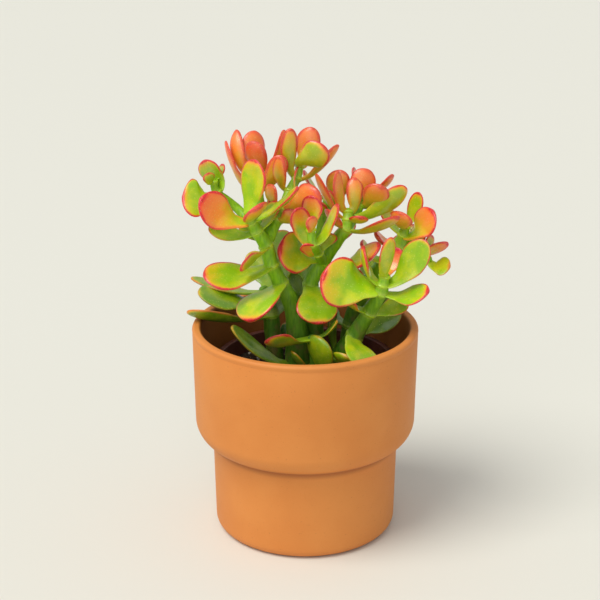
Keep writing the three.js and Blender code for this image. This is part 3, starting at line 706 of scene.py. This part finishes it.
def build_leaf(node, axis, out, leaf, chance, parts):
    """Adds one leaf's points, faces and shading values to parts."""
    line, up_at_middle, length = leaf_line(node, axis, out, leaf)
    tangents, ups = transported(line, up_at_middle)
    width = leaf.width * MM
    depth = width * LEAF_THICKNESS
    start = len(parts["points"])
    ripple = chance.uniform(0, 10)
    lopsided = chance.uniform(-LOPSIDED, LOPSIDED)
    # Painted shade: a leaf behind the others is given the deep green of old growth, so this value is part
    # age and part painted shade.
    age = age_at(node.height) * shade_at(node.y + leaf.y)
    shift = chance.uniform(-1, 1)
    for i, s in enumerate(stations()):
        turn = math.radians(leaf.roll) * min(1, 2 * s)  # fully rolled from halfway on
        up = ups[i] * math.cos(turn) + tangents[i].cross(ups[i]) * math.sin(turn)
        side = up.cross(tangents[i])
        shape = outline(s)
        half = shape * width / 2
        clasp = max(0.0, 1 - s / CLASP_REACH)
        half = max(half, node.radius * MM * CLASP_WIDTH * clasp + half * (1 - clasp))
        thick = depth * math.sqrt(shape)
        for angle in circle(ACROSS):
            across = math.cos(angle)
            over = math.sin(angle)
            phase = ripple + (2 if across > 0 else 0)
            wave = 1 + MARGIN_WAVE * math.sin(WAVE_RATE * s + phase) + lopsided * across
            cup = LEAF_CUP * half * across * across
            share = UPPER_SHARE if over > 0 else LOWER_SHARE
            body = over * share * thick * (1 - EDGE_THINNING * abs(across) ** 3)
            groove = GROOVE_DEPTH * thick * math.exp(-((across / GROOVE_WIDTH) ** 2)) if over > 0 else 0.0
            point = line[i] + side * across * half * wave + up * (cup + body - groove)
            rim = min((1 - abs(across)) * half, (1 - s) * length * TIP_NEARNESS) / MM
            add_point(parts, point, s, rim, over, leaf.blush, age, shift)
    parts["faces"] += grid_faces(len(line), ACROSS, start)
    last = start + (len(line) - 1) * ACROSS
    parts["faces"].append(tuple(range(last, last + ACROSS)))
    parts["faces"].append(tuple(start + j for j in reversed(range(ACROSS))))


def build_collar(node, axis, parts):
    """Adds the low ring round the stem where a pair's bases meet."""
    u = axis.orthogonal().normalized()
    v = axis.cross(u)
    start = len(parts["points"])
    section = arc(node.radius * MM * COLLAR_SEAT, 0, COLLAR_SIZE, -90, 90, COLLAR_STEPS)
    for r, z in section:
        for angle in circle(COLLAR_SIDES):
            spoke = u * math.cos(angle) + v * math.sin(angle)
            point = node_point(node) + spoke * r + axis * z * COLLAR_STRETCH
            add_point(parts, point, 0.0, FAR_FROM_RIM, 0.0, 0.0, age_at(node.height), 0.0)
    parts["faces"] += grid_faces(len(section), COLLAR_SIDES, start)


def build_pair(name, nodes, i, material):
    """An opposite pair of leaves and the collar that joins them."""
    axis = axis_at(nodes, i)
    one, other = nodes[i].leaves

    def sideways(leaf):
        reach = Vector(leaf[:3])
        return (reach - axis * reach.dot(axis)).normalized()

    out = (sideways(one) - sideways(other)).normalized()
    chance = random.Random(name)
    parts = {key: [] for key in ("points", "faces", *LEAF_KEYS)}
    build_leaf(nodes[i], axis, out, one, chance, parts)
    build_leaf(nodes[i], axis, -out, other, chance, parts)
    build_collar(nodes[i], axis, parts)
    points = parts.pop("points")
    faces = parts.pop("faces")
    settle(mesh_object("fine_" + name, points, faces, material, **parts), "leaf", name)


def build_plant():
    leaf = leaf_material()
    stem = stem_material()
    for name, rows in PLANT.items():
        shoots = {shoot: [as_node(row) for row in rows[shoot]] for shoot in rows}
        build_stem(name, shoots, stem)
        for shoot, nodes in shoots.items():
            leafy = [i for i, node in enumerate(nodes) if node.leaves]
            for count, i in enumerate(leafy, 1):
                build_pair(f"{name}_{shoot}_leaves_{count}", nodes, i, leaf)


# ---- Pots ----
def build_cover_pot():
    """The stepped pot, with finer roundings than the CAD's."""
    base_round = 6 * MM
    rim_round = 1.8 * MM
    line_depth = 0.45 * MM  # a shallow line sets the rim off
    line_half = 0.4 * MM
    line_height = POT_TOP - 3.6 * MM
    crease_lip = 0.3 * MM
    shoulder = POT_RADIUS - TIER_TAPER
    waist = shoulder - STEP_DEPTH
    foot = waist - TIER_TAPER
    centre = (shoulder - SHOULDER_RADIUS, SHOULDER_TOP)
    inner_radius = SHOULDER_RADIUS - POT_WALL
    crease = -math.degrees(math.acos((waist - centre[0]) / SHOULDER_RADIUS))
    inner_crease = -math.degrees(math.acos(max((waist - POT_WALL - centre[0]) / inner_radius, -1)))
    corner = centre[1] + SHOULDER_RADIUS * math.sin(math.radians(crease))
    upper_middle = (centre[1] + POT_TOP) / 2
    profile = [
        (0.0, 0.0),
        (foot * 0.6, 0.0),
        *arc(foot - base_round, base_round, base_round, -90, 0, 10),
        ((foot + waist) / 2, STEP_HEIGHT * 0.55),
        (waist, corner - 3 * crease_lip),
        (waist + crease_lip / 2, corner - crease_lip),
        *arc(*centre, SHOULDER_RADIUS, crease + 2.5, 0, 16),
        (POT_RADIUS - TIER_TAPER / 2, upper_middle),
        (POT_RADIUS - 0.1 * MM, line_height - 3 * line_half),
        (POT_RADIUS - line_depth, line_height - line_half),
        (POT_RADIUS - line_depth, line_height + line_half),
        *arc(POT_RADIUS - rim_round, POT_TOP - rim_round, rim_round, 0, 90, 7),
        *arc(POT_RADIUS - POT_WALL + rim_round, POT_TOP - rim_round, rim_round, 90, 180, 7),
        (shoulder - POT_WALL + TIER_TAPER / 2, upper_middle),
        *arc(*centre, inner_radius, 0, inner_crease, 12),
        (foot - POT_WALL, POT_FLOOR + base_round),
        *arc(foot - POT_WALL - base_round, POT_FLOOR + base_round, base_round, 0, -90, 6),
        (foot * 0.4, POT_FLOOR),
        (0.0, POT_FLOOR),
    ]
    obj = turned("fine_cover_pot", profile, 160, clay_material(corner))
    settle(obj, "terracotta", "cover_pot")


def build_nursery_pot():
    """A thin plastic pot with a folded lip."""
    low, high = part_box("nursery_pot")
    lip = high.x
    wall = 1 * MM
    lip_out = 2.5 * MM
    lip_height = 8 * MM
    lip_foot = high.z - lip_height
    taper = 12 * MM
    outer_round = 0.7 * MM
    inner_round = 0.6 * MM
    radius = lip - lip_out
    floor_radius = radius - taper
    profile = [
        (0.0, low.z),
        (floor_radius - wall, low.z),
        (floor_radius, low.z + wall),
        (radius - taper * lip_height / (high.z - low.z), lip_foot),
        (lip - inner_round, lip_foot),
        *arc(lip - outer_round, lip_foot + 0.8 * MM, inner_round, -60, 0, 3),
        *arc(lip - outer_round, high.z - outer_round, outer_round, 0, 90, 4),
        *arc(radius - wall + inner_round, high.z - inner_round, inner_round, 90, 180, 4),
        (radius - wall - 0.5 * MM, high.z - 4 * MM),
        (floor_radius - wall, low.z + wall),
        (0.0, low.z + wall),
    ]
    obj = turned("fine_nursery_pot", profile, 120, plastic_material())
    settle(obj, "plastic", "nursery_pot")


# ---- Soil ----
SOIL_CROWN = 1.3 * MM
CLOD_SIZE = 9 * MM
CLOD_HEIGHT = 1.1 * MM
CRUMB_SIZE = 2.2 * MM
CRUMB_HEIGHT = 0.6 * MM
CRUMB_OFFSET = Vector((7, 3, 1))
SOIL_RINGS = 60
SOIL_SEGMENTS = 180
SOIL_FOOT = 0.82  # how wide the soil is at the bottom, as a share of its top
BIT_LIFT = 0.25  # how far a bit's middle lies over the soil, as a share of its size
FIBRE_POINTS = 10
FIBRE_SIDES = 5
FIBRE_LIFT = 0.3 * MM
TUFT_PLACE = (-15 * MM, -20 * MM)
TUFT_REACH = 8 * MM

GOLDEN = (1 + math.sqrt(5)) / 2
ICOSAHEDRON = [
    Vector(p).normalized()
    for a in (-1, 1)
    for b in (-GOLDEN, GOLDEN)
    for p in ((0, a, b), (a, b, 0), (b, 0, a))
]


def soil_height(x, y):
    """The soil's surface: crowned in the middle and crumbly all over."""
    place = Vector((x, y, 0.0))
    crown = SOIL_CROWN * (1 - (math.hypot(x, y) / SOIL_REACH) ** 2)
    clods = noise.fractal(place / CLOD_SIZE, 1.0, 2.0, 4) * CLOD_HEIGHT
    crumbs = noise.fractal(place / CRUMB_SIZE + CRUMB_OFFSET, 1.0, 2.0, 3) * CRUMB_HEIGHT
    return SOIL_TOP + crown + clods + crumbs


def build_soil():
    """The body of the soil, with its rings closer together towards the edge."""
    points = []
    for i in range(SOIL_RINGS + 1):
        r = SOIL_REACH * (i / SOIL_RINGS) ** 0.8 if i else 0.05 * MM
        for angle in circle(SOIL_SEGMENTS):
            x = r * math.cos(angle)
            y = r * math.sin(angle)
            points.append((x, y, soil_height(x, y)))
    faces = grid_faces(SOIL_RINGS + 1, SOIL_SEGMENTS)
    faces.append(tuple(reversed(range(SOIL_SEGMENTS))))
    foot = len(points)
    foot_radius = SOIL_REACH * SOIL_FOOT
    foot_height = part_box("soil")[0].z
    for angle in circle(SOIL_SEGMENTS):
        points.append((foot_radius * math.cos(angle), foot_radius * math.sin(angle), foot_height))
    edge = SOIL_RINGS * SOIL_SEGMENTS
    for j in range(SOIL_SEGMENTS):
        k = (j + 1) % SOIL_SEGMENTS
        faces.append((edge + k, foot + k, foot + j, edge + j))
    faces.append(tuple(foot + j for j in reversed(range(SOIL_SEGMENTS))))
    settle(mesh_object("fine_soil", points, faces, soil_material()), "soil", "soil")


def icosahedron_faces():
    """Its twenty faces: every three points that are all neighbours, turned to look outward."""
    edge = min((a - b).length for a in ICOSAHEDRON for b in ICOSAHEDRON if a is not b)

    def near(a, b):
        return (ICOSAHEDRON[a] - ICOSAHEDRON[b]).length < edge * 1.01

    found = []
    for a, b, c in combinations(range(len(ICOSAHEDRON)), 3):
        if near(a, b) and near(b, c) and near(a, c):
            pa, pb, pc = (ICOSAHEDRON[k] for k in (a, b, c))
            outward = (pb - pa).cross(pc - pa).dot(pa + pb + pc) > 0
            found.append((a, b, c) if outward else (a, c, b))
    return found


def random_place(chance, reach, centre):
    """A random place on a disc of the soil."""
    r = reach * math.sqrt(chance.random())
    angle = chance.uniform(0, 2 * math.pi)
    return centre[0] + r * math.cos(angle), centre[1] + r * math.sin(angle)


def scatter_bits(name, count, size, flatness, material, seed, reach, centre=(0, 0)):
    """Crumbs of one kind lying on the soil, as one mesh of many closed lumps."""
    chance = random.Random(seed)
    triangles = icosahedron_faces()
    points = []
    faces = []
    for _ in range(count):
        x, y = random_place(chance, reach, centre)
        scale = size * chance.uniform(0.5, 1.3)
        spin = Vector((chance.gauss(0, 1), chance.gauss(0, 1), chance.gauss(0, 1))).normalized()
        turn = spin.to_track_quat("Z", "Y")
        place = Vector((x, y, soil_height(x, y) + scale * BIT_LIFT))
        start = len(points)
        for p in ICOSAHEDRON:
            lump = Vector((p.x, p.y * chance.uniform(0.6, 1.0), p.z * flatness))
            points.append(turn @ (lump * scale * chance.uniform(0.8, 1.1)) + place)
        faces += [tuple(start + k for k in triangle) for triangle in triangles]
    settle(mesh_object(name, points, faces, material), "soil")


def build_fibres(name, count, material, seed, reach, centre=(0, 0)):
    """Thin dry roots and fibres that lie in curls on the soil."""
    chance = random.Random(seed)
    last = FIBRE_POINTS - 1
    points = []
    faces = []
    for _ in range(count):
        x, y = random_place(chance, reach, centre)
        heading = chance.uniform(0, 2 * math.pi)
        bend = chance.uniform(-0.35, 0.35)
        length = chance.uniform(5, 16) * MM
        thickness = chance.uniform(0.12, 0.3) * MM
        line = []
        for i in range(FIBRE_POINTS):
            rise = math.sin(math.pi * i / last) * chance.uniform(0.2, 1.2) * MM
            z = soil_height(x, y) + FIBRE_LIFT + rise
            line.append(Sample(Vector((x, y, z)), thickness))
            x += math.cos(heading) * length / last
            y += math.sin(heading) * length / last
            heading += bend + chance.uniform(-0.25, 0.25)
        more, sides = tube(line, FIBRE_SIDES, len(points))
        points += more
        faces += sides
    settle(mesh_object(name, points, faces, material), "soil")


def build_litter():
    """Bark, perlite and dry roots on the soil, with a tuft of fibre and perlite at the front."""
    bark = chip_material("bark_bits", rgb(34, 22, 14), rgb(92, 62, 40), 1.5 * MM)
    perlite = chip_material("perlite", rgb(176, 168, 150), rgb(226, 220, 206), 0.8 * MM)
    fibre = chip_material("dry_fibre", rgb(120, 92, 56), rgb(190, 160, 108), 1.2 * MM)
    scatter_bits("bark_crumbs", 620, 1.5 * MM, 0.55, bark, 1, SOIL_REACH - 3 * MM)
    scatter_bits("bark_chips", 90, 3.0 * MM, 0.35, bark, 2, SOIL_REACH - 5 * MM)
    scatter_bits("perlite_grains", 70, 1.1 * MM, 0.9, perlite, 3, SOIL_REACH - 4 * MM)
    scatter_bits("perlite_cluster", 60, 0.9 * MM, 0.9, perlite, 4, TUFT_REACH, TUFT_PLACE)
    build_fibres("root_fibres", 70, fibre, 5, SOIL_REACH - 12 * MM)
    build_fibres("fibre_tuft", 60, fibre, 6, TUFT_REACH, TUFT_PLACE)


# ---- Floor, light and camera ----
FLOOR_REACH = 12.0
CAMERA_PLACE = (-3 * MM, -825.9 * MM, 439.3 * MM)
CAMERA_DOWN = 20.0  # degrees below level


def build_floor():
    mesh = bpy.data.meshes.new("floor")
    corners = [(-FLOOR_REACH, -FLOOR_REACH), (FLOOR_REACH, -FLOOR_REACH)]
    corners += [(FLOOR_REACH, FLOOR_REACH), (-FLOOR_REACH, FLOOR_REACH)]
    mesh.from_pydata([(x, y, 0) for x, y in corners], [], [(0, 1, 2, 3)])
    floor = bpy.data.objects.new("floor", mesh)
    bpy.context.scene.collection.objects.link(floor)
    n = Nodes("pale_floor")
    n.set(Base_Color=rgb(224, 222, 212), Roughness=0.6, Specular_IOR_Level=0.25)
    mesh.materials.append(n.material)


def sun_light(name, source, softness, strength, colour):
    """A distant soft light that comes from the direction of source."""
    light = bpy.data.lights.new(name, "SUN")
    light.angle = math.radians(softness)
    light.energy = strength
    light.color = colour
    obj = bpy.data.objects.new(name, light)
    obj.rotation_euler = Vector(source).to_track_quat("Z", "Y").to_euler()
    bpy.context.scene.collection.objects.link(obj)


def build_studio():
    world = bpy.data.worlds.new("studio")
    world.use_nodes = True
    background = world.node_tree.nodes["Background"]
    background.inputs["Color"].default_value = rgb(232, 236, 238)
    background.inputs["Strength"].default_value = 0.58
    bpy.context.scene.world = world
    sun_light("key", (-0.6, -0.42, 1.25), 34, 2.15, (1.0, 0.98, 0.93))
    sun_light("fill", (-0.2, -1.0, 0.6), 50, 0.5, (0.98, 0.99, 1.0))


def build_camera():
    camera = bpy.data.cameras.new("camera")
    camera.lens = 92.2
    camera.sensor_width = 36
    camera.clip_start = 0.01
    obj = bpy.data.objects.new("camera", camera)
    obj.location = CAMERA_PLACE
    obj.rotation_euler = (math.radians(90 - CAMERA_DOWN), 0, 0)
    bpy.context.scene.collection.objects.link(obj)
    bpy.context.scene.camera = obj


build_cover_pot()
build_nursery_pot()
build_soil()
build_litter()
build_plant()
build_floor()
build_studio()
build_camera()
bpy.context.scene.view_settings.view_transform = "Standard"
